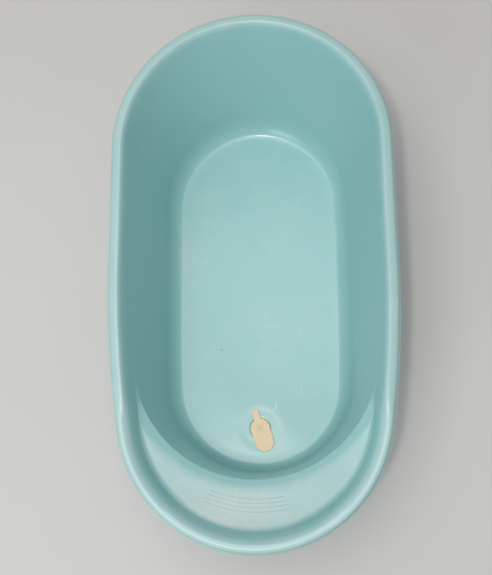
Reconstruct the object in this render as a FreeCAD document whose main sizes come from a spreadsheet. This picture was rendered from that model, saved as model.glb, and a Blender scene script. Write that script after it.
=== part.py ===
import FreeCAD, Part
import math
import os
import Sketcher

# A one-piece moulded bathing tub with a soft drain plug.
# Millimetres. X runs across the tub, -Y points at the end with the ledge, +Z is up.
# The origin is on the ground, under the middle of the tub.

doc = FreeCAD.newDocument("bathtub")

# Driving dimensions. A "reach" is a distance along Y from the middle of the tub, and a "lean" is how
# far a wall comes inwards between the mouth of the well and its floor.
DIMENSIONS = {
    "tub_length": 886.0,
    "tub_width": 470.0,
    "tub_height": 240.0,
    "wall": 2.5,
    # rolled rim: a domed top, a skirt that flares a little, and a thin bead along its hem
    "rim_width": 26.6,
    "rim_depth": 24.0,
    "rim_shoulder": 9.0,
    "rim_flare": 3.0,
    "rim_bead": 2.4,
    # bathing well
    "floor_top": 18.0,
    "floor_round": 30.0,
    "side_lean": 48.6,
    "far_lean": 95.0,
    "near_lean": 48.4,
    # how much smaller than the half width the radius of the near end is
    "mouth_trim": 18.0,
    "floor_trim": 3.0,
    # crescent ledge at the near end, and the round wall that ends the well under it
    "ledge_top": 197.0,
    "ledge_reach": 333.0,
    "well_reach": 323.9,
    "well_radius": 158.8,
    "well_margin": 2.4,
    # foot ring under the floor, with gaps that let water out
    "foot_inset": 42.0,
    "foot_wall": 3.0,
    "gap_width": 50.0,
    "gap_height": 5.0,
    # drain: a hole with a collar under it, a round seat and a shallow dish around it
    "drain_reach": 250.5,
    "drain_radius": 10.0,
    "collar_wall": 3.0,
    "collar_drop": 8.0,
    "pad_radius": 24.0,
    "pad_thick": 1.5,
    "seat_radius": 18.7,
    "seat_depth": 1.7,
    "dish_radius": 38.0,
    "dish_slope": 4.0,
    "dish_depth": 0.7,
    # soft plug: a round cap with a lobe and a pull tab, and a bung that fills the drain
    "plug_turn": 17.6,
    "plug_clearance": 0.05,
    "cap_radius": 17.4,
    "cap_thick": 3.0,
    "cap_edge": 0.6,
    "lobe_radius": 16.7,
    "lobe_distance": 25.5,
    "tab_width": 12.5,
    "tab_reach": 33.6,
    "tab_gap": 0.4,
    "land_radius": 15.0,
    "bung_length": 15.0,
    "bung_taper": 5.0,
    "bung_tip_radius": 8.0,
    # how far a cutting piece stands past what it cuts, and how far joined pieces run into each other
    "over": 5.0,
    "join": 0.5,
}

sheet = doc.addObject("Spreadsheet::Sheet", "dims")
for row, (alias, size) in enumerate(DIMENSIONS.items(), start=1):
    sheet.set(f"A{row}", alias)
    sheet.set(f"B{row}", str(size))
    sheet.setAlias(f"B{row}", alias)
doc.recompute()


def dim(words):
    """An expression on the sheet, from the aliases in a sum of plain words."""
    return " ".join("dims." + word if word in DIMENSIONS else word for word in words.split())


def number(expression):
    """The value that an expression on the sheet has now."""
    return float(sheet.evalExpression(expression))


# Sizes that follow from the driving ones.
WALL = dim("wall")
OVER = dim("over")
FLOOR_TOP = dim("floor_top")
FLOOR_UNDER = dim("( floor_top - wall )")
LEDGE_TOP = dim("ledge_top")
LEDGE_UNDER = dim("( ledge_top - wall )")
MOUTH_TOP = dim("( tub_height - rim_shoulder )")
MOUTH_HALF = dim("( tub_width / 2 - rim_width )")
MOUTH_REACH = dim("( tub_length / 2 - rim_width )")
FLOOR_HALF = f"({MOUTH_HALF} - {dim('side_lean')})"
LEDGE_SHARE = f"(({LEDGE_TOP} - {FLOOR_TOP}) / ({MOUTH_TOP} - {FLOOR_TOP}))"
LEDGE_HALF = f"({FLOOR_HALF} + {dim('side_lean')} * {LEDGE_SHARE})"
LEDGE_FAR = f"({MOUTH_REACH} - {dim('far_lean')} * (1 - {LEDGE_SHARE}))"

FLOOR = {
    "half": FLOOR_HALF,
    "far": f"({MOUTH_REACH} - {dim('far_lean')})",
    "near": f"({MOUTH_REACH} - {dim('near_lean')})",
    "radius": f"({FLOOR_HALF} - {dim('floor_trim')})",
}
MOUTH = {
    "half": MOUTH_HALF,
    "far": MOUTH_REACH,
    "near": MOUTH_REACH,
    "radius": f"({MOUTH_HALF} - {dim('mouth_trim')})",
}
# The round end of the well is a little wider than the well's own sides, so that it only cuts the end.
ROUND_FLOOR = {
    "half": f"({FLOOR['half']} + {dim('well_margin')})",
    "far": f"({FLOOR['far']} + {dim('far_lean')} / 2)",
    "near": dim("well_reach"),
    "radius": dim("well_radius"),
}
ROUND_LEDGE = {
    "half": f"({LEDGE_HALF} + {dim('well_margin')})",
    "far": f"({LEDGE_FAR} + {dim('far_lean')} / 2)",
    "near": dim("ledge_reach"),
    "radius": f"({LEDGE_HALF} - 1)",
}
FOOT = {
    "half": f"({FLOOR_HALF} - {dim('foot_inset')})",
    "far": f"({FLOOR['far']} - {dim('foot_inset')})",
    "near": dim("( well_reach - foot_inset )"),
    "radius": dim("( well_radius - foot_inset )"),
}


def grown(oval, margin):
    """An oval's sizes with its outline moved outwards by margin."""
    return {side: f"({size} + {margin})" for side, size in oval.items()}


def level_sketch(name, height, body=None):
    """An empty sketch in a level plane: on the document's own, or on a body's XY plane."""
    if body is None:
        sketch = doc.addObject("Sketcher::SketchObject", name)
        sketch.setExpression(".Placement.Base.z", height)
        return sketch
    planes = {plane.Role: plane for plane in body.Origin.OriginFeatures}
    sketch = body.newObject("Sketcher::SketchObject", name)
    sketch.AttachmentSupport = [(planes["XY_Plane"], "")]
    sketch.MapMode = "FlatFace"
    sketch.setExpression(".AttachmentOffset.Base.z", height)
    return sketch


def sketch_oval(name, height, oval, body=None):
    """A closed outline in a level plane, in the document or in a body: a half circle at the far end,
    straight sides to the middle, then sides that bow gently in to a smaller arc at the near end. Every
    joint is tangent."""
    half, far, near, radius = (number(oval[side]) for side in ("half", "far", "near", "radius"))
    drop = near - radius
    side_centre = (drop**2 - (half - radius) ** 2) / (2 * (half - radius))
    side_radius = half + side_centre
    turn = math.atan2(drop, side_centre)
    up = FreeCAD.Vector(0, 0, 1)

    def arc(x, y, size, start, end):
        return Part.ArcOfCircle(Part.Circle(FreeCAD.Vector(x, y, 0), up, size), start, end)

    sketch = level_sketch(name, height, body)
    sketch.addGeometry(
        [
            arc(0, far - half, half, 0, math.pi),
            Part.LineSegment(FreeCAD.Vector(-half, far - half, 0), FreeCAD.Vector(-half, 0, 0)),
            arc(side_centre, 0, side_radius, math.pi, math.pi + turn),
            arc(0, -drop, radius, math.pi + turn, 2 * math.pi - turn),
            arc(-side_centre, 0, side_radius, 2 * math.pi - turn, 2 * math.pi),
            Part.LineSegment(FreeCAD.Vector(half, 0, 0), FreeCAD.Vector(half, far - half, 0)),
        ],
        False,
    )
    far_arc, left, left_bow, near_arc, right_bow, right = range(6)
    start, end, centre, x_axis, y_axis = 1, 2, 3, -1, -2
    for one, other in (
        ((far_arc, end), (left, start)),
        ((left, end), (left_bow, start)),
        ((left_bow, end), (near_arc, start)),
        ((near_arc, end), (right_bow, start)),
        ((right_bow, end), (right, start)),
        ((right, end), (far_arc, start)),
    ):
        sketch.addConstraint(Sketcher.Constraint("Tangent", *one, *other))
    for edge in (far_arc, near_arc):
        sketch.addConstraint(Sketcher.Constraint("PointOnObject", edge, centre, y_axis))
    for edge in (left_bow, right_bow):
        sketch.addConstraint(Sketcher.Constraint("PointOnObject", edge, centre, x_axis))
    for side, rule, size, expression in (
        ("half", ("Radius", far_arc), half, oval["half"]),
        ("far", ("DistanceY", far_arc, centre), far - half, f"{oval['far']} - {oval['half']}"),
        ("radius", ("Radius", near_arc), radius, oval["radius"]),
        ("near", ("DistanceY", near_arc, centre), -drop, f"{oval['radius']} - {oval['near']}"),
    ):
        index = sketch.addConstraint(Sketcher.Constraint(*rule, size))
        sketch.renameConstraint(index, side)
        sketch.setExpression(f"Constraints.{side}", expression)
    return sketch


def loft(name, low_height, low, high_height, high):
    """A solid with straight walls between two ovals."""
    sections = [
        sketch_oval(f"{name}_low", low_height, low),
        sketch_oval(f"{name}_high", high_height, high),
    ]
    solid = doc.addObject("Part::Loft", name)
    solid.Sections = sections
    solid.Solid = True
    solid.Ruled = True
    return solid


def boolean(kind, name, *pieces):
    """Part's Cut of two pieces, or its Common or Fuse of several."""
    if kind == "Cut":
        result = doc.addObject("Part::Cut", name)
        result.Base, result.Tool = pieces
    else:
        result = doc.addObject(f"Part::Multi{kind}", name)
        result.Shapes = list(pieces)
    if kind == "Fuse":
        result.Refine = True
    return result


def plain(kind, name, place=(), **sizes):
    """A Part primitive, or another object with sizes, with each size bound to its expression."""
    solid = doc.addObject(kind, name)
    for side, expression in sizes.items():
        solid.setExpression(side, expression)
    for axis, expression in zip("xyz", place):
        solid.setExpression(f".Placement.Base.{axis}", expression)
    return solid


def slab(name, low, high):
    """A level slice wider than the tub, between two heights."""
    return plain(
        "Part::Box",
        name,
        (dim("0 - tub_width"), dim("0 - tub_length"), low),
        Length=dim("tub_width * 2"),
        Width=dim("tub_length * 2"),
        Height=f"{high} - {low}",
    )


DRAIN_Y = dim("0 - drain_reach")


def at_drain(kind, name, height, **sizes):
    """A round primitive on the drain's axis, from a height upwards."""
    return plain(kind, name, ("0", DRAIN_Y, height), **sizes)


def sound(solid):
    """True where an object and its shape are both whole."""
    failed = {"Invalid", "Error"} & set(solid.State)
    return not failed and not solid.Shape.isNull() and solid.Shape.isValid()


# ---------------------------------------------------------------- tub shell


def hollow_form(name, margin, floor, ledge):
    """The tub's form without its rim, its outline moved outwards by margin: the leaning well, closed at
    the near end by a rounder wall below the ledge and open to its full length above it."""
    full = loft(f"{name}_full", floor, grown(FLOOR, margin), MOUTH_TOP, grown(MOUTH, margin))
    round_end = loft(
        f"{name}_round_end", floor, grown(ROUND_FLOOR, margin), LEDGE_TOP, grown(ROUND_LEDGE, margin)
    )
    well = boolean("Common", f"{name}_well", full, round_end)
    above = boolean("Common", f"{name}_above_ledge", full, slab(f"{name}_slab", ledge, MOUTH_TOP))
    return well, above


def rounded_floor(name, well, radius):
    """The well with the edge around its floor rounded."""
    doc.recompute()
    lowest = well.Shape.BoundBox.ZMin
    around_floor = [
        (index, number(radius), number(radius))
        for index, edge in enumerate(well.Shape.Edges, start=1)
        if edge.BoundBox.ZMax < lowest + 0.1
    ]
    rounded = doc.addObject("Part::Fillet", name)
    rounded.Base = well
    rounded.Edges = around_floor
    return rounded


outer_well, outer_above = hollow_form("outer", WALL, FLOOR_UNDER, LEDGE_UNDER)
inner_well, inner_above = hollow_form("inner", "0", FLOOR_TOP, LEDGE_TOP)
outer_bowl = rounded_floor("outer_bowl", outer_well, dim("floor_round + wall"))
inner_bowl = rounded_floor("inner_bowl", inner_well, dim("floor_round"))


def ring(name, low, high, oval, thick):
    """A wall of even thickness standing on an oval, from one height to another."""
    walls = []
    for part, margin in (("outside", "0"), ("inside", f"0 - {thick}")):
        wall = doc.addObject("Part::Extrusion", f"{name}_{part}")
        wall.Base = sketch_oval(f"{name}_{part}_outline", low, grown(oval, margin))
        wall.DirMode = "Custom"
        wall.Dir = FreeCAD.Vector(0, 0, 1)
        wall.setExpression("LengthFwd", f"{high} - {low}")
        wall.Solid = True
        walls.append(wall)
    return boolean("Cut", name, *walls)


# The foot ring runs up into the floor, and its gaps let water out from under the tub.
foot_whole = ring("foot_whole", "0", f"{FLOOR_UNDER} + {dim('join')}", FOOT, dim("foot_wall"))
along = plain(
    "Part::Box",
    "foot_gap_along",
    (dim("0 - gap_width / 2"), dim("0 - tub_length"), "-" + OVER),
    Length=dim("gap_width"),
    Width=dim("tub_length * 2"),
    Height=dim("gap_height + over"),
)
across = plain(
    "Part::Box",
    "foot_gap_across",
    (dim("0 - tub_width"), dim("gap_width"), "-" + OVER),
    Length=dim("tub_width * 2"),
    Width=dim("gap_width"),
    Height=dim("gap_height + over"),
)
foot_gaps = boolean("Fuse", "foot_gaps", along, across)
foot_ring = boolean("Cut", "foot_ring", foot_whole, foot_gaps)


def sketch_section(sketch, corners, arcs):
    """Draws a closed outline through corners, pairs of expressions, into a sketch. arcs gives, for the
    place of a side that curves, its radius and which side of its chord its centre lies on, as 1 or -1."""
    spots = [FreeCAD.Vector(number(x), number(y), 0) for x, y in corners]
    for side, (one, other) in enumerate(zip(spots, spots[1:] + spots[:1])):
        edge = Part.LineSegment(one, other)
        if side in arcs:
            radius, way = number(arcs[side][0]), arcs[side][1]
            half_chord = (other - one) * 0.5
            across = FreeCAD.Vector(-half_chord.y, half_chord.x, 0).normalize() * way
            centre = one + half_chord + across * math.sqrt(radius**2 - half_chord.Length**2)
            edge = Part.Arc(one, centre - across * radius, other)
        sketch.addGeometry(edge, False)
    for side, (x, y) in enumerate(corners):
        # an arc drawn against the clock keeps its ends the other way round
        begin, finish = (2, 1) if side in arcs and arcs[side][1] < 0 else (1, 2)
        for axis, expression in (("X", x), ("Y", y)):
            rule = Sketcher.Constraint(f"Distance{axis}", side, begin, number(expression))
            name = f"corner{side}_{axis}"
            sketch.renameConstraint(sketch.addConstraint(rule), name)
            sketch.setExpression(f"Constraints.{name}", expression)
        after = (side + 1) % len(corners)
        begin_after = 2 if after in arcs and arcs[after][1] < 0 else 1
        sketch.addConstraint(Sketcher.Constraint("Coincident", side, finish, after, begin_after))
        if side in arcs:
            rule = Sketcher.Constraint("Radius", side, number(arcs[side][0]))
            sketch.renameConstraint(sketch.addConstraint(rule), f"radius{side}")
            sketch.setExpression(f"Constraints.radius{side}", arcs[side][0])


def in_rim(inwards, down):
    """A corner of the rim's section, from how far in it is and how far it is under the crest."""
    return dim(f"tub_width / 2 - ( {inwards} )"), dim(f"tub_height - ( {down} )")


def dome(thick):
    """The radius of the rim's dome, from its span and its rise, less a thickness."""
    half_span = dim("( rim_width - rim_flare ) / 2")
    rise = dim("rim_shoulder")
    return f"(({half_span})^2 + {rise}^2) / (2 * {rise}) - {thick}"


# The rim's section stands where the outline's far arc begins, and is carried round the outline.
rim_section = doc.addObject("Sketcher::SketchObject", "rim_section")
rim_section.Placement.Rotation = FreeCAD.Rotation(FreeCAD.Vector(1, 0, 0), 90)
rim_section.setExpression(".Placement.Base.y", dim("tub_length / 2 - tub_width / 2"))
sketch_section(
    rim_section,
    [
        in_rim("0", "rim_depth"),
        in_rim("wall + rim_bead / 2", "rim_depth"),
        in_rim("rim_flare + wall", "rim_shoulder + join"),
        in_rim("rim_width - wall", "rim_shoulder + join"),
        in_rim("rim_width - wall", "rim_shoulder"),
        in_rim("rim_width", "rim_shoulder"),
        in_rim("rim_flare", "rim_shoulder"),
        in_rim("rim_bead / 2", "rim_depth - rim_bead"),
        in_rim("0", "rim_depth - rim_bead"),
    ],
    {2: (dome(WALL), 1), 5: (dome("0"), -1)},
)
rim_outline = sketch_oval(
    "rim_outline",
    "0",
    {
        "half": dim("tub_width / 2"),
        "far": dim("tub_length / 2"),
        "near": dim("tub_length / 2"),
        "radius": dim("( tub_width / 2 - mouth_trim )"),
    },
)
rim = doc.addObject("Part::Sweep", "rim")
rim.Sections = [rim_section]
rim.Spine = rim_outline
rim.Solid = True

# A collar guides the bung under the floor, and a pad stiffens the floor where the seat thins it.
collar = at_drain(
    "Part::Cylinder",
    "drain_collar",
    dim("floor_top - wall - collar_drop"),
    Radius=dim("drain_radius + collar_wall"),
    Height=dim("collar_drop + wall / 2"),
)
pad = at_drain(
    "Part::Cylinder",
    "drain_pad",
    dim("floor_top - wall - pad_thick"),
    Radius=dim("pad_radius"),
    Height=dim("pad_thick + wall / 2"),
)
hole = at_drain(
    "Part::Cylinder",
    "drain_hole",
    "0",
    Radius=dim("drain_radius"),
    Height=dim("floor_top + over"),
)
seat = at_drain(
    "Part::Cylinder",
    "drain_seat",
    dim("floor_top - seat_depth"),
    Radius=dim("seat_radius"),
    Height=dim("seat_depth + over"),
)
dish = at_drain(
    "Part::Cone",
    "drain_dish",
    dim("floor_top - dish_depth"),
    Radius1=dim("dish_radius - dish_slope"),
    Radius2=dim("dish_radius"),
    Height=dim("dish_depth"),
)

outside = boolean(
    "Fuse", "tub_outside", outer_bowl, outer_above, rim, foot_ring, collar, pad
)
inside = boolean("Fuse", "tub_inside", inner_bowl, inner_above, hole, seat, dish)
tub_shell = boolean("Cut", "tub_shell", outside, inside)
tub_shell.Label = "tub_shell"

# ---------------------------------------------------------------- drain plug

# The plug is one soft moulding. It is three nodes here, parted where it turns and where it bends: the
# bung, which is round about the drain's axis, the cap that turns over it, and the pull tab.
PLUG_BASE = dim("( floor_top + plug_clearance )")


def plug_body(name):
    """A body whose origin is on the drain's axis at the floor, turned as the plug lies."""
    body = doc.addObject("PartDesign::Body", name)
    body.Placement.Rotation = FreeCAD.Rotation(FreeCAD.Vector(0, 0, 1), 1)
    body.setExpression(".Placement.Base.y", DRAIN_Y)
    body.setExpression(".Placement.Base.z", PLUG_BASE)
    body.setExpression(".Placement.Rotation.Angle", dim("plug_turn"))
    body.Label = name
    return body


def pad_plate(body, sketch):
    """A plate of the cap's thickness on a sketch, with its top edge eased."""
    plate = body.newObject("PartDesign::Pad", f"{sketch.Name}_plate")
    plate.Profile = sketch
    plate.setExpression("Length", dim("cap_thick"))
    doc.recompute()
    top = plate.Shape.BoundBox.ZMax
    rim_edges = [
        f"Edge{index}"
        for index, edge in enumerate(plate.Shape.Edges, start=1)
        if edge.BoundBox.ZMin > top - 0.01
    ]
    eased = body.newObject("PartDesign::Fillet", f"{sketch.Name}_eased")
    eased.Base = (plate, rim_edges)
    eased.setExpression("Radius", dim("cap_edge"))
    body.Tip = eased


plug_cap = plug_body("plug_cap")
cap_outline = sketch_oval(
    "cap_outline",
    "0",
    {
        "half": dim("cap_radius"),
        "far": dim("( cap_radius + lobe_distance / 2 )"),
        "near": dim("( lobe_radius + lobe_distance / 2 )"),
        "radius": dim("lobe_radius"),
    },
    plug_cap,
)
# The outline is drawn about its middle, which lies half the lobe's distance from the drain's axis.
cap_outline.setExpression(".AttachmentOffset.Base.y", dim("0 - lobe_distance / 2"))
pad_plate(plug_cap, cap_outline)

# The tab starts just clear of the cap's round edge, at the fold.
pull_tab = plug_body("pull_tab")
tab_outline = level_sketch("tab_outline", "0", pull_tab)
TAB_HALF = dim("( tab_width / 2 )")
TAB_START = dim("( cap_radius + tab_gap )")
TAB_END = dim("tab_reach")
sketch_section(
    tab_outline,
    [
        (f"0 - {TAB_HALF}", TAB_START),
        (TAB_HALF, TAB_START),
        (TAB_HALF, TAB_END),
        (f"0 - {TAB_HALF}", TAB_END),
    ],
    {},
)
pad_plate(pull_tab, tab_outline)

# The bung: a flat land that fills the seat, a stem that fits the hole, and a tapered tip.
SEAT_FLOOR = dim("( floor_top - seat_depth + plug_clearance )")
bung_land = at_drain(
    "Part::Cylinder",
    "bung_land",
    SEAT_FLOOR,
    Radius=dim("land_radius"),
    Height=f"{PLUG_BASE} - {SEAT_FLOOR}",
)
bung_stem = at_drain(
    "Part::Cylinder",
    "bung_stem",
    dim("floor_top - bung_length + bung_taper"),
    Radius=dim("drain_radius - plug_clearance"),
    Height=dim("bung_length - bung_taper"),
)
bung_tip = at_drain(
    "Part::Cone",
    "bung_tip",
    dim("floor_top - bung_length"),
    Radius1=dim("bung_tip_radius"),
    Radius2=dim("drain_radius - plug_clearance"),
    Height=dim("bung_taper"),
)
plug_bung = boolean("Fuse", "plug_bung", bung_land, bung_stem, bung_tip)
plug_bung.Label = "plug_bung"

# ---------------------------------------------------------------- files

doc.recompute()
broken = [solid.Name for solid in doc.Objects if {"Invalid", "Error"} & set(solid.State)]
if broken:
    raise RuntimeError(f"these objects failed: {broken}")

os.makedirs("parts", exist_ok=True)
for piece in (tub_shell, plug_bung, plug_cap, pull_tab):
    if not sound(piece) or len(piece.Shape.Solids) != 1:
        raise RuntimeError(f"{piece.Label} isn't one whole solid")
    piece.Shape.exportStep(f"parts/{piece.Label}.step")
    print(f"{piece.Label}: {piece.Shape.Volume / 1000:.1f} cm3")
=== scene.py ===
import math

import bmesh
import bpy
import numpy as np
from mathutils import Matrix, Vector


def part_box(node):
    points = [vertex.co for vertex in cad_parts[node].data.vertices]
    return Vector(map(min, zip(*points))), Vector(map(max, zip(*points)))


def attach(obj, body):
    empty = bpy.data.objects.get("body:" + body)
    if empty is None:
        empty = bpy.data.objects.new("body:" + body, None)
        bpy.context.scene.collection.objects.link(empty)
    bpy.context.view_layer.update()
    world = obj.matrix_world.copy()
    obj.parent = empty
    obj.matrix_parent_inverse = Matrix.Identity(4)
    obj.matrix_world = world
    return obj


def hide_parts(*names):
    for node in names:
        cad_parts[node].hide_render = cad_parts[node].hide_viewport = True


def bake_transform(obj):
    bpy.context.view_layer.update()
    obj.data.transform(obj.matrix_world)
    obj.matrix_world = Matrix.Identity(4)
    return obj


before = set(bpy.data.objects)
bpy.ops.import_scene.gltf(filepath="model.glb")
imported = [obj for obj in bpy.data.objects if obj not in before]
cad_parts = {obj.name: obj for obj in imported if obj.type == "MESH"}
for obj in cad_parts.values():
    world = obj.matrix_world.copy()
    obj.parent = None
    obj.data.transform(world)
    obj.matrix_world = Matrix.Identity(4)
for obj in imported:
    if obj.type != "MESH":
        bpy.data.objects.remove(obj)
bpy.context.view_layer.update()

# ================================================================ tub shell
# One pale aqua polypropylene moulding: floor, leaning walls, crescent ledge, rolled rim and foot ring
# all flow into each other. It is made as one section, from the drain hole up over the rim and back
# under the floor to the hole, carried once round the tub.

low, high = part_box("tub_shell")
HALF_WIDTH = (high.x - low.x) / 2
HALF_LENGTH = (high.y - low.y) / 2
TOP = high.z
WALL = 0.0025
FLOOR = 0.018
UNDER = FLOOR - WALL
RIM_WIDTH = 0.0266
MOUTH_DROP = 0.009
LEDGE = 0.1955
LEDGE_RISE = 0.003
LEDGE_WIDTH = 0.075
SIDE_LEAN, FAR_LEAN, NEAR_LEAN = 0.0486, 0.0950, 0.0484
FOOT_INSET = 0.042
FOOT_THICKNESS = 0.003
HOLE_RADIUS = 0.010
SEAT_RADIUS = 0.0191
DRAIN = np.array([[0.0], [-0.2505]])


def oval(half, far, near, radius, grow=0.0):
    """The sizes of an outline: half a circle at the far end, straight sides to the middle, then sides
    that bow in to a smaller arc at the near end, all moved outwards by grow."""
    return half + grow, far + grow, near + grow, radius + grow


RIM = oval(HALF_WIDTH, HALF_LENGTH, HALF_LENGTH, HALF_WIDTH - 0.018)
MOUTH = oval(*RIM, grow=-RIM_WIDTH)
WELL = oval(MOUTH[0] - SIDE_LEAN, MOUTH[1] - FAR_LEAN, MOUTH[2] - NEAR_LEAN, 0.1568)
END_AT_FLOOR = oval(WELL[0] + 0.006, WELL[1] + 0.1, 0.3239, 0.1588)
END_AT_LEDGE = oval(0.2127, 0.55, 0.3330, 0.2000)
FOOT = oval(WELL[0] - FOOT_INSET, WELL[1] - FOOT_INSET, 0.2819, 0.1168)

# Columns run round the tub, against the clock. Each starts on the tub's middle line: they fan out at
# both ends, and go straight across between.
FAN_FAR, FAN_NEAR = 0.176, -0.150
AROUND_FAR, AROUND_NEAR, ALONG = 80, 140, 40
turn = np.concatenate(
    [
        np.linspace(0, math.pi, AROUND_FAR, endpoint=False),
        np.full(ALONG, math.pi),
        np.linspace(math.pi, 2 * math.pi, AROUND_NEAR, endpoint=False),
        np.zeros(ALONG),
    ]
)
start = np.concatenate(
    [
        np.full(AROUND_FAR, FAN_FAR),
        np.linspace(FAN_FAR, FAN_NEAR, ALONG, endpoint=False),
        np.full(AROUND_NEAR, FAN_NEAR),
        np.linspace(FAN_NEAR, FAN_FAR, ALONG, endpoint=False),
    ]
)
way = np.stack([np.cos(turn), np.sin(turn)])


def circle_hit(x, y, radius):
    """How far along each column a circle is crossed on the way out: the larger root of the quadratic
    for the distance to the circle's centre."""
    along = way[0] * x + way[1] * (y - start)
    apart = x**2 + (start - y) ** 2 - radius**2
    return along + np.sqrt(np.maximum(along**2 - apart, 0))


def reach(outline):
    """How far along each column an oval is crossed, on whichever of its far arc, straight side, bowed
    side or near arc the column meets."""
    half, far, near, radius = outline
    drop = near - radius
    centre = (drop**2 - (half - radius) ** 2) / (2 * (half - radius))
    joint = -drop * (half + centre) / (half + centre - radius)
    left = np.where(way[0] < 0, -1.0, 1.0)
    far_arc = circle_hit(0, far - half, half)
    straight = half / np.maximum(np.abs(way[0]), 1e-6)
    bowed = circle_hit(-centre * left, 0, half + centre)
    sides = np.where(start + straight * way[1] > 0, straight, bowed)
    sides = np.where(start + sides * way[1] < joint, circle_hit(0, -drop, radius), sides)
    return np.where(start + far_arc * way[1] > far - half, far_arc, sides)


def soft_min(one, other, blend):
    """The smaller of two, with the change-over rounded over a width of blend."""
    share = np.clip(0.5 + (other - one) / (2 * blend), 0, 1)
    return other + (one - other) * share - blend * share * (1 - share)


def smooth(value, low_end, high_end):
    """0 below low_end, 1 above high_end, and an S curve between."""
    t = np.clip((value - low_end) / (high_end - low_end), 0, 1)
    return t * t * (3 - 2 * t)


rim_out, mouth_out, well_out = reach(RIM), reach(MOUTH), reach(WELL)


def side_wall(z):
    """Reach of the long leaning wall at a height: a straight line from the floor to the mouth."""
    return well_out + (mouth_out - well_out) * (z - FLOOR) / (TOP - MOUTH_DROP - FLOOR)


floor_corner = soft_min(well_out, reach(END_AT_FLOOR), 0.006)
ledge_corner = soft_min(side_wall(LEDGE), reach(END_AT_LEDGE), 0.008)
ledge_corner = np.where(way[1] < 0, ledge_corner, np.minimum(ledge_corner, side_wall(LEDGE)))
ledge_share = np.clip((side_wall(LEDGE) - ledge_corner) / LEDGE_WIDTH, 0, 1)


def well_wall(z):
    """Reach of the wall below the ledge: a straight line from the floor's corner to the ledge's."""
    return floor_corner + (ledge_corner - floor_corner) * (z - FLOOR) / (LEDGE - FLOOR)


def section(corners, softness, runs, bend=7):
    """A path through corners, each a reach and a height for every column. Each inner corner becomes an
    arc of bend points that leaves the straight run its softness before the corner, or half the run if
    that is less: a conic through the corner's two tangent points, weighted by the cosine of half its
    turn. runs says how many points lie inside each straight run."""
    points = np.array([[np.broadcast_to(v, turn.shape) for v in corner] for corner in corners])
    steps = np.diff(points, axis=0)
    lengths = np.maximum(np.linalg.norm(steps, axis=1, keepdims=True), 1e-9)
    units = steps / lengths
    rows, last = [points[:1]], points[0]
    t = np.linspace(0, 1, bend)[:, None, None]
    for i, soft in enumerate(softness):
        corner, before, after = points[i + 1], units[i], units[i + 1]
        first = corner - before * np.minimum(soft, lengths[i] / 2)
        final = corner + after * np.minimum(soft, lengths[i + 1] / 2)
        weight = np.sqrt(np.maximum((1 + (before * after).sum(0)) / 2, 0.01))
        blend = (1 - t) ** 2 + 2 * t * (1 - t) * weight + t**2
        arc = ((1 - t) ** 2 * first + 2 * t * (1 - t) * weight * corner + t**2 * final) / blend
        share = np.linspace(0, 1, runs[i] + 2)[1:-1, None, None]
        rows += [last + (first - last) * share, arc]
        last = final
    share = np.linspace(0, 1, runs[-1] + 2)[1:, None, None]
    rows.append(last + (points[-1] - last) * share)
    return np.concatenate(rows)


def evenly(rows, count):
    """A path sampled again at even distances along itself, in every column at once."""
    gaps = np.linalg.norm(np.diff(rows, axis=0), axis=1)
    along = np.concatenate([np.zeros((1, turn.size)), np.cumsum(gaps, axis=0)])
    along /= along[-1]
    wanted = np.linspace(0, 1, count)[:, None]
    index = np.clip((along[None] <= wanted[:, None]).sum(1) - 1, 0, len(rows) - 2)
    column = np.arange(turn.size)
    begin, finish = along[index, column], along[index + 1, column]
    share = np.clip((wanted - begin) / np.maximum(finish - begin, 1e-12), 0, 1)
    picked = rows[index, :, column], rows[index + 1, :, column]
    return np.moveaxis(picked[0] + (picked[1] - picked[0]) * share[..., None], 2, 1)


def in_columns(rows):
    """Rows of reach and height as points: out from the middle line along each column."""
    return np.stack([way[0] * rows[:, 0], start + way[1] * rows[:, 0], rows[:, 1]], axis=1)


def under_rim(inwards, down):
    """A corner of the rim's section, from how far in it is and how far under the crest."""
    return rim_out + (mouth_out - rim_out) * inwards / RIM_WIDTH, TOP - down


# The floor's rounding is a little tighter at the steep near end, and wider at the far end. Beside the
# ledge, where ledge_room is 1, the rim's inner side rolls over more broadly.
floor_softness = 0.033 - 0.007 * smooth(-way[1], 0.3, 1) + 0.003 * smooth(way[1], 0.3, 1)
flat_edge = floor_corner - floor_softness
ledge_back = LEDGE + LEDGE_RISE * ledge_share
BELOW, ABOVE = LEDGE - 0.016, LEDGE + 0.014
LIP = LEDGE - 0.0080
SHOULDER = TOP - 0.0165
ledge_room = smooth(ledge_share, 0.0, 0.15)

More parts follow.
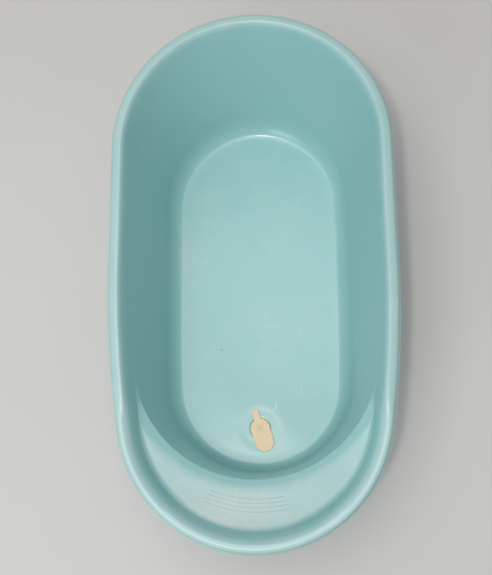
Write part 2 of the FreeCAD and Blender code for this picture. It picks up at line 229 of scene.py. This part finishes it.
bowl = section(
    [(flat_edge - 0.001, FLOOR), (floor_corner, FLOOR), (well_wall(BELOW), BELOW)],
    [floor_softness],
    [0, 14],
    bend=13,
)
ledge = evenly(
    section(
        [
            (well_wall(BELOW), BELOW),
            (well_wall(LIP), LIP),
            (ledge_corner + 0.0130 * ledge_room, LEDGE),
            (side_wall(LEDGE), ledge_back),
            (side_wall(ABOVE), ABOVE),
        ],
        [0.0006, 0.0150, 0.007],
        [4, 1, 16, 4],
        bend=9,
    ),
    58,
)
rim = section(
    [
        (side_wall(ABOVE), ABOVE),
        (side_wall(SHOULDER), SHOULDER),
        under_rim(0.0222 - 0.0010 * ledge_room, 0.0006 + 0.0039 * ledge_room),
        under_rim(0.0165 - 0.0045 * ledge_room, 0.0),
        under_rim(0.0054, 0.0034),
        under_rim(0.0018, 0.0212),
        under_rim(0.0, 0.0216),
        under_rim(0.0, 0.0240),
        under_rim(0.0042, 0.0240),
        under_rim(0.0068, 0.0080),
        under_rim(0.0160 - 0.0035 * ledge_room, 0.0028),
        under_rim(0.0205 - 0.0015 * ledge_room, 0.0032 + 0.0042 * ledge_room),
        (side_wall(SHOULDER) + WALL, SHOULDER + 0.001),
        (side_wall(ABOVE) + WALL, ABOVE),
    ],
    [0.006, 0.0078, 0.0052, 0.0048, 0.0004, 0.0009, 0.0009, 0.0008, 0.003, 0.003, 0.003, 0.001],
    [5, 0, 0, 1, 4, 0, 0, 1, 3, 1, 1, 1, 2],
    bend=5,
)
ledge_under = evenly(
    section(
        [
            (side_wall(ABOVE) + WALL, ABOVE),
            (side_wall(LEDGE) + WALL, ledge_back - WALL),
            (ledge_corner + WALL + 0.0120 * ledge_room, LEDGE - WALL),
            (well_wall(LIP) + WALL, LIP - 0.0012),
            (well_wall(BELOW) + WALL, BELOW),
        ],
        [0.009, 0.013, 0.001],
        [4, 16, 1, 4],
    ),
    24,
)

# The foot ring stands on the ground but for a low gap at each end, which lets water run out.
gap = (np.abs(way[0] * flat_edge) < 0.025) & (np.abs(way[1]) > 0.9)
foot_bottom = np.where(gap, 0.005, 0.0)
foot_out = reach(FOOT)
foot_in = foot_out - FOOT_THICKNESS
bowl_under = section(
    [
        (well_wall(BELOW) + WALL, BELOW),
        (floor_corner + WALL, UNDER),
        (foot_out, UNDER),
        (foot_out, foot_bottom),
        (foot_in, foot_bottom),
        (foot_in, UNDER),
        (foot_out - 0.012, UNDER),
    ],
    [floor_softness + 0.0015, 0.001, 0.0006, 0.0006, 0.001],
    [10, 3, 1, 0, 1, 0],
)

# Round the drain, rows are rings about its own axis, drawn towards the same columns.
edge = np.stack([way[0] * bowl[0, 0], start + way[1] * bowl[0, 0]]) - DRAIN
edge_distance = np.linalg.norm(edge, axis=0)
from_drain = edge / edge_distance


def about_drain(rows):
    """Rows of radius and height as points on rings about the drain's axis."""
    return np.stack(
        [from_drain[0] * rows[:, 0], DRAIN[1] + from_drain[1] * rows[:, 0], rows[:, 1]], axis=1
    )


SEAT = FLOOR - 0.0022
DISH = FLOOR - 0.0004
HOLE_MIDDLE = 0.0095
RECESS = UNDER - 0.0015
COLLAR_LOW = UNDER - 0.008
drain_top = section(
    [
        (HOLE_RADIUS, HOLE_MIDDLE),
        (HOLE_RADIUS, SEAT),
        (SEAT_RADIUS, SEAT),
        (SEAT_RADIUS, DISH),
        (0.030, DISH),
        (0.040, FLOOR),
        (edge_distance, FLOOR),
    ],
    [0.0005, 0.0005, 0.0004, 0.003, 0.004],
    [2, 1, 0, 3, 0, 18],
    bend=4,
)[:-1]
drain_under = section(
    [
        (0.030, UNDER),
        (0.024, UNDER),
        (0.024, RECESS),
        (0.013, RECESS),
        (0.013, COLLAR_LOW),
        (HOLE_RADIUS, COLLAR_LOW),
        (HOLE_RADIUS, HOLE_MIDDLE),
    ],
    [0.0005, 0.0004, 0.0008, 0.0005, 0.0005],
    [0, 0, 1, 1, 0, 1],
    bend=4,
)[:-1]

rows = np.concatenate(
    [
        about_drain(drain_top),
        in_columns(bowl[:-1]),
        in_columns(ledge[:-1]),
        in_columns(rim[:-1]),
        in_columns(ledge_under[:-1]),
        in_columns(bowl_under),
        about_drain(drain_under),
    ]
)


def grid_mesh(name, points, closed_rows=True, outwards=1):
    """A mesh from rows of points, (row, xyz, column), joined into quads. Columns close on themselves,
    and so do rows if closed_rows. outwards is -1 where the quads have to be turned over."""
    count, _, width = points.shape
    row = np.arange(count if closed_rows else count - 1)[:, None]
    column = np.arange(width)[None]
    after_row, after_column = (row + 1) % count, (column + 1) % width
    corners = [(row, column), (row, after_column), (after_row, after_column), (after_row, column)]
    quads = np.stack([r * width + c for r, c in corners[::outwards]], axis=-1).reshape(-1, 4)
    mesh = bpy.data.meshes.new(name)
    mesh.vertices.add(count * width)
    mesh.vertices.foreach_set("co", points.transpose(0, 2, 1).ravel().astype(np.float32))
    mesh.loops.add(quads.size)
    mesh.loops.foreach_set("vertex_index", quads.ravel().astype(np.int32))
    mesh.polygons.add(len(quads))
    mesh.polygons.foreach_set("loop_start", np.arange(0, quads.size, 4, dtype=np.int32))
    mesh.update(calc_edges=True)
    mesh.validate()
    mesh.polygons.foreach_set("use_smooth", np.ones(len(mesh.polygons), bool))
    piece = bpy.data.objects.new(name, mesh)
    bpy.context.scene.collection.objects.link(piece)
    return piece


tub = grid_mesh("bathing_tub", rows, outwards=-1)

# How much handling wear and painted sheen each row gets: nothing below the rim, rising up its inner side
# to the crest, then all over its crest and skirt, down to the hem.
crest, hem = rim[:, 1, 0].argmax(), rim[:, 0, 0].argmax()
rim_row = np.arange(len(rim) - 1)
rising = smooth(rim[:-1, 1, 0], TOP - 0.012, TOP - 0.003)
first_rim_row = len(drain_top) + len(bowl) - 1 + len(ledge) - 1
rim_wear_and_sheen_rows = np.zeros(len(rows))
rim_wear_and_sheen_rows[first_rim_row + rim_row] = np.where(rim_row < crest, rising, rim_row < hem + 3)
wear_and_sheen_layer = tub.data.attributes.new("rim_wear_and_sheen", "FLOAT", "POINT")
wear_and_sheen_layer.data.foreach_set("value", np.repeat(rim_wear_and_sheen_rows, turn.size).astype(np.float32))


class Wire:
    """A shader socket that adds Math nodes when it is used in a sum, difference or product."""

    def __init__(self, finish, socket):
        self.finish, self.socket = finish, socket

    def math(self, operation, one, other):
        return self.finish.node("ShaderNodeMath", {"operation": operation}, {0: one, 1: other})

    def __add__(self, other):
        return self.math("ADD", self, other)

    def __sub__(self, other):
        return self.math("SUBTRACT", self, other)

    def __rsub__(self, other):
        return self.math("SUBTRACT", other, self)

    def __mul__(self, other):
        return self.math("MULTIPLY", self, other)

    __radd__, __rmul__ = __add__, __mul__


class Finish:
    """A material: its nodes are added one at a time, and its Principled shader is set last."""

    def __init__(self, name):
        self.material = bpy.data.materials.new(name)
        self.material.use_nodes = True
        self.nodes = self.material.node_tree.nodes
        self.links = self.material.node_tree.links
        self.shader = self.nodes["Principled BSDF"]
        self.place = self.node("ShaderNodeTexCoord", output="Object")

    def set(self, node, key, value):
        """Links a wire to a node's socket, or writes a plain value on it."""
        if isinstance(value, Wire):
            self.links.new(value.socket, node.inputs[key])
        else:
            node.inputs[key].default_value = value

    def node(self, kind, settings=(), sockets=(), output=0):
        """Adds one node: its settings, then its sockets' values or links, and returns one output."""
        node = self.nodes.new(kind)
        for key, value in dict(settings).items():
            setattr(node, key, value)
        for key, value in dict(sockets).items():
            self.set(node, key, value)
        return Wire(self, node.outputs[output])

    def noise(self, scale, detail=2.0, roughness=0.5, place=None):
        """Fractal noise from 0 to 1, with scale in patches per metre."""
        sockets = {"Vector": place or self.place, "Scale": scale}
        sockets.update({"Detail": detail, "Roughness": roughness})
        return self.node("ShaderNodeTexNoise", sockets=sockets)

    def moved(self, location=(0, 0, 0), turn=(0, 0, 0), scale=(1, 1, 1)):
        """The object's own coordinates, scaled, turned and then moved."""
        sockets = {"Vector": self.place, "Location": location, "Rotation": turn, "Scale": scale}
        return self.node("ShaderNodeMapping", sockets=sockets)

    def spot(self, centre, size, turn=0.0, soft=0.4):
        """1 inside an ellipsoid, fading to 0 at its skin: soft is the share of it that fades. It is
        given by its centre, its half sizes and its turn about Z."""
        sockets = {"Vector": self.place, "Location": centre, "Rotation": (0, 0, turn), "Scale": size}
        inside = self.node("ShaderNodeMapping", {"vector_type": "TEXTURE"}, sockets)
        far_out = self.node("ShaderNodeVectorMath", {"operation": "LENGTH"}, {0: inside}, "Value")
        return self.between(far_out, 1.0, 1.0 - soft)

    def between(self, value, start, end):
        """How far a value is from start to end: 0 before start, 1 after end, and an S curve between."""
        sockets = {0: value, 1: start, 2: end}
        return self.node("ShaderNodeMapRange", {"interpolation_type": "SMOOTHSTEP"}, sockets)

    def mix(self, share, one, other):
        """One colour blended into another by share."""
        return self.node("ShaderNodeMix", {"data_type": "RGBA"}, {0: share, 6: one, 7: other}, output=2)

    def axis(self, name):
        """One coordinate of the object's own, in metres."""
        return self.node("ShaderNodeSeparateXYZ", sockets={0: self.place}, output=name)

    def bump(self, height, distance, normal=None):
        """The surface's normal tilted by a height from 0 to 1 that stands for distance."""
        sockets = {"Height": height, "Distance": distance}
        if normal:
            sockets["Normal"] = normal
        return self.node("ShaderNodeBump", sockets=sockets, output="Normal")

    def surface(self, **sockets):
        """Sets the Principled shader's sockets, with underscores for the spaces in their names."""
        for key, value in sockets.items():
            self.set(self.shader, key.replace("_", " "), value)
        return self.material


# The plastic is coloured right through. Washing has left faint cloudy films, fine scratches on the floor
# and a worn, chalky ledge and rim; the mould leaves a slight orange peel. Light is painted in as well:
# painted shade in the drain's seat, a painted glare highlight on the ledge's middle and a painted sheen
# over the rim's top.
plastic = Finish("aqua_polypropylene")
height = plastic.axis("Z")
clouds = plastic.noise(7.0, 4.0, 0.6)
film = plastic.between(clouds, 0.45, 0.80)
streaks = plastic.noise(60.0, 3.0, 0.7, plastic.moved(scale=(1.0, 0.25, 1.0)))
chalk = plastic.between(plastic.noise(30.0, 5.0, 0.65), 0.35, 0.75)
on_ledge = plastic.between(height, 0.190, 0.1955) * plastic.between(height, 0.204, 0.200)
on_ledge = on_ledge * plastic.spot((0.0, -0.222, 0.197), (0.188, 0.190, 0.5), soft=0.04)
on_ledge = on_ledge * plastic.between(plastic.axis("Y"), -0.190, -0.350)
# Painted highlight: a soft pale glare is laid over the ledge's middle, as if a lamp shone on it.
painted_glare_highlight = plastic.spot((-0.04, -0.382, 0.197), (0.15, 0.050, 0.03), soft=0.9)
on_floor = plastic.between(height, 0.024, 0.0185) * plastic.between(height, 0.0165, 0.0178)
# This marks the rim's top and skirt, which are lightened with a mottled whitish film: partly handling
# wear, partly painted sheen.
on_rim = plastic.node("ShaderNodeAttribute", {"attribute_name": "rim_wear_and_sheen"}, output="Fac")
# Painted shade: the seat's floor and the foot of its wall, round the drain under the plug's cap, are
# painted dark.
in_seat = plastic.spot((0.0, -0.2505, 0.018), (0.0205, 0.0205, 0.0026), soft=0.05)
painted_seat_shade = in_seat * plastic.between(height, 0.0174, 0.0166)
grit = plastic.between(plastic.noise(420.0, 3.0, 0.7), 0.42, 0.68)

# Four plain hairline ridges, each an arc about the same centre, are moulded on the ledge.
ledge_way = plastic.moved(location=(-0.004, 0.160, 0), scale=(1, 1, 0))
bow = plastic.node("ShaderNodeVectorMath", {"operation": "LENGTH"}, {0: ledge_way}, "Value")
comb = plastic.node("ShaderNodeMath", {"operation": "PINGPONG"}, {0: bow - 0.1990, 1: 0.0032})
hairlines = plastic.between(comb, 0.0024, 0.0031) * plastic.between(bow, 0.2000, 0.2005)
hairlines = hairlines * plastic.between(bow, 0.2240, 0.2235)
hairlines = hairlines * plastic.spot((-0.016, -0.371, 0.197), (0.070, 0.045, 0.01), soft=0.15)

# Scratches run in thin streaks over floor and ledge; two nicks and a dark speck lie on the floor.
scratch_way = plastic.moved(turn=(0, 0, 0.5), scale=(420.0, 11.0, 60.0))
scratches = plastic.between(plastic.noise(1.0, 2.0, 0.5, scratch_way), 0.70, 0.78)
scratches = scratches * (on_floor * 0.5 + on_ledge * 0.8)
nick = plastic.spot((0.0275, -0.2140, 0.018), (0.0016, 0.0085, 0.004), turn=-0.28)
nick = nick + plastic.spot((-0.0225, -0.2750, 0.018), (0.0020, 0.0012, 0.004), turn=0.6)
speck = plastic.spot((-0.0689, -0.1081, 0.018), (0.0022, 0.0016, 0.004), turn=0.5)

# Whitish film: chalky wear and the painted glare highlight on the ledge, cloudy films everywhere, and
# handling wear with painted sheen on the rim.
wear_and_painted_sheen = on_ledge * (chalk * 0.20 + painted_glare_highlight * (grit * 0.25 + 0.45) + 0.02)
wear_and_painted_sheen = wear_and_painted_sheen + on_floor * film * 0.16 + film * 0.05
wear_and_painted_sheen = wear_and_painted_sheen + on_rim * (clouds * 0.30 + 0.10)
colour = plastic.mix(clouds, (0.284, 0.535, 0.530, 1), (0.312, 0.562, 0.557, 1))
# The ledge is painted a darker teal, and the painted glare highlight lightens its middle again, so its
# ends stay darker.
colour = plastic.mix(on_ledge * 0.45, colour, (0.24, 0.39, 0.38, 1))
colour = plastic.mix(wear_and_painted_sheen, colour, (0.62, 0.67, 0.65, 1))
colour = plastic.mix(scratches * 0.35 + nick * 0.5, colour, (0.72, 0.80, 0.78, 1))
# Dark paint: a real speck on the floor, the ledge's hairlines, and painted shade in the drain's seat.
colour = plastic.mix(speck * 0.8 + painted_seat_shade * 0.75 + hairlines * 0.15, colour, (0.12, 0.16, 0.15, 1))
roughness = 0.16 + clouds * 0.05 + streaks * 0.05 + wear_and_painted_sheen * 0.45 + scratches * 0.2 + on_ledge * 0.14
waves = plastic.bump(plastic.noise(9.0, 1.0), 0.0016)
peel = plastic.bump(plastic.noise(900.0, 2.0), 0.00004, normal=waves)
grooves = plastic.bump(1 - scratches - nick, 0.00008, normal=peel)
ridges = plastic.bump(hairlines, 0.00025, normal=grooves)
tub_finish = plastic.surface(Base_Color=colour, Roughness=roughness, Normal=ridges, IOR=1.52)
tub.data.materials.append(tub_finish)
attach(tub, "tub")
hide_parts("tub_shell")

# ================================================================ drain plug
# One soft cream moulding, pressed into the drain: a round cap over the hole, a lobe on one side, a
# narrow pull tab on the other, and a tapered bung underneath. It is made as rings about the cap's
# middle, from the gate mark out over the rounded edge, and back under and down the bung.

CAP_RADIUS = 0.0174
LOBE_RADIUS = 0.0167
LOBE_AT = 0.0255
TAB_HALF = 0.00625
TAB_END = 0.0336
TOP_EDGE = 0.0007
LOW_EDGE = 0.0003
GATE_RADIUS = 0.0019
PLUG_TURN = math.radians(17.6)
PLUG_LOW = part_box("plug_cap")[0].z
PLUG_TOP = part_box("plug_cap")[1].z
BUNG_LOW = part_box("plug_bung")[0].z

# Angles from the tab's middle, closer together where the tab's narrow sides are seen end on.
TAB_FAN = 0.45
around = np.concatenate(
    [
        np.linspace(-TAB_FAN, TAB_FAN, 121, endpoint=False),
        np.linspace(TAB_FAN, 2 * math.pi - TAB_FAN, 120, endpoint=False),
    ]
)
across, ahead = np.sin(around), np.cos(around)
lobe_along = -LOBE_AT * ahead
lobe = lobe_along + np.sqrt(np.maximum(lobe_along**2 - LOBE_AT**2 + LOBE_RADIUS**2, 0))
waist = CAP_RADIUS / np.maximum(
    np.abs(across) - ahead * (CAP_RADIUS - LOBE_RADIUS) / LOBE_AT, 1e-6
)
behind = np.where(waist * ahead < -LOBE_AT, lobe, waist)
plate = np.where(ahead < 0, behind, CAP_RADIUS)
tab = soft_min(TAB_HALF / np.maximum(np.abs(across), 1e-6), TAB_END / np.maximum(ahead, 0.1), 0.0012)
tab = np.where(ahead > 0.5, tab, 0)
plug_edge = -soft_min(-plate, -tab, 0.0006)

# A rounded edge is as wide square to the outline as it is deep, so it is wider along a slanting ray.
all_round = np.append(around, 2 * math.pi - TAB_FAN)
slope = np.gradient(np.append(plug_edge, plug_edge[0]), all_round)[:-1]
slant = np.minimum(np.sqrt(1 + (slope / plug_edge) ** 2), 5)


def plug_row(radius, z):
    """One ring of the plug, from its radius and height in every direction from the cap's middle."""
    x = across * radius
    y = ahead * radius
    turned_x = x * math.cos(PLUG_TURN) - y * math.sin(PLUG_TURN)
    turned_y = x * math.sin(PLUG_TURN) + y * math.cos(PLUG_TURN)
    return np.stack([turned_x, DRAIN[1] + turned_y, np.broadcast_to(z, around.shape)])


def rounding(depth, at_top, steps=5):
    """Rings for a quarter-round edge. Each is inside the outline by depth times one less the sine of
    its angle and below the top by depth times one less its cosine, or the other way round at the
    bottom."""
    rings = []
    for angle in np.linspace(0, math.pi / 2, steps):
        less_sine = depth * (1 - math.sin(angle))
        less_cosine = depth * (1 - math.cos(angle))
        if at_top:
            rings.append(plug_row(plug_edge - less_sine * slant, PLUG_TOP - less_cosine))
        else:
            rings.append(plug_row(plug_edge - less_cosine * slant, PLUG_LOW + less_sine))
    return rings


gate = [(0.0, 0.0005), (0.0007, 0.0005), (0.0011, 0.0003), (0.0015, 0.00005), (GATE_RADIUS, 0.0)]
top_rows = [plug_row(radius, PLUG_TOP - depth) for radius, depth in gate]
flat_width = plug_edge - TOP_EDGE * slant - GATE_RADIUS
top_rows += [plug_row(GATE_RADIUS + flat_width * t, PLUG_TOP) for t in np.linspace(0.08, 0.97, 16)]
bung_section = [
    (0.0150, PLUG_LOW),
    (0.0150, 0.0168),
    (0.0146, 0.01635),
    (0.0099, 0.01635),
    (0.00995, 0.0160),
    (0.00995, 0.0082),
    (0.0098, 0.0078),
    (0.0080, BUNG_LOW + 0.0003),
    (0.0077, BUNG_LOW),
    (0.0, BUNG_LOW),
]
bottom_rows = [plug_row(radius, z) for radius, z in bung_section]
edge_rows = rounding(TOP_EDGE, True) + rounding(LOW_EDGE, False)
plug_rows = np.stack(top_rows + edge_rows + bottom_rows)
plug = grid_mesh("drain_stopper", plug_rows, closed_rows=False)


def weld(piece, gap=1e-6):
    """Joins the points that share a place, such as those at a pole or along a seam."""
    welding = bmesh.new()
    welding.from_mesh(piece.data)
    bmesh.ops.remove_doubles(welding, verts=welding.verts, dist=gap)
    welding.to_mesh(piece.data)
    welding.free()


weld(plug)

rubber = Finish("cream_soft_plastic")
blotches = rubber.noise(120.0, 3.0, 0.6)
grain = rubber.noise(2600.0, 2.0, 0.5)
gate_at = (0.0, DRAIN[1, 0], PLUG_TOP)
# Painted shade: the gate mark's dimple is painted dark, and a wider disc about it a little darker.
gate_dimple_shade = rubber.spot(gate_at, (0.0085, 0.0085, 0.002), soft=0.2) * 0.22
gate_dimple_shade = gate_dimple_shade + rubber.spot(gate_at, (0.0022, 0.0022, 0.002), soft=0.5) * 0.5
cream = rubber.mix(blotches, (0.86, 0.64, 0.42, 1), (0.81, 0.60, 0.39, 1))
cream = rubber.mix(gate_dimple_shade, cream, (0.58, 0.44, 0.30, 1))
rubber_normal = rubber.bump(grain, 0.00003, normal=rubber.bump(rubber.noise(160.0, 1.0), 0.0003))
plug_finish = rubber.surface(
    Base_Color=cream, Roughness=0.34 + blotches * 0.16, Normal=rubber_normal, IOR=1.50
)
plug.data.materials.append(plug_finish)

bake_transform(plug)
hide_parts("plug_cap", "plug_bung", "pull_tab")

# ================================================================ floor, light and camera
# A plain pale floor in an even grey room. A broad soft light hangs over the left side, a small lamp
# over the ledge end gives the glints, and a cooler window light comes from beyond that end, on the left.

bpy.ops.mesh.primitive_plane_add(size=14)
floor = bpy.context.object
floor.name = "studio_floor"
paper = Finish("pale_floor")
floor_colour = paper.mix(paper.noise(3.0, 3.0), (0.60, 0.59, 0.575, 1), (0.64, 0.63, 0.61, 1))
floor.data.materials.append(paper.surface(Base_Color=floor_colour, Roughness=0.85))

world = bpy.data.worlds.new("studio")
bpy.context.scene.world = world
world.use_nodes = True
sky = world.node_tree.nodes["Background"]
sky.inputs["Color"].default_value = (0.95, 0.97, 1.0, 1)
sky.inputs["Strength"].default_value = 0.38
bpy.context.scene.view_settings.view_transform = "Standard"


def area_light(name, place, target, size, watts, tint):
    """A square area light at a place, facing a target."""
    lamp = bpy.data.lights.new(name, "AREA")
    lamp.size = size
    lamp.energy = watts
    lamp.color = tint
    light = bpy.data.objects.new(name, lamp)
    light.location = place
    light.rotation_euler = (Vector(target) - Vector(place)).to_track_quat("-Z", "Y").to_euler()
    bpy.context.scene.collection.objects.link(light)


area_light("softbox", (-0.4, 0.05, 2.5), (-0.1, 0.1, 0), 1.8, 27, (1.0, 0.98, 0.96))
area_light("lamp", (-0.25, -0.55, 2.3), (0, 0, 0), 0.12, 10, (1.0, 0.96, 0.91))
area_light("window", (-1.3, -2.0, 1.7), (0, 0, 0.1), 1.2, 14, (0.86, 0.94, 1.0))

camera = bpy.data.cameras.new("camera")
camera.sensor_width = 36.0
camera.lens = 47.64
camera_object = bpy.data.objects.new("camera", camera)
camera_object.location = (0.0689, -0.2846, 1.4064)
camera_object.rotation_mode = "ZYX"
camera_object.rotation_euler = (0.208, 0.065, -0.023)
bpy.context.scene.collection.objects.link(camera_object)
bpy.context.scene.camera = camera_object
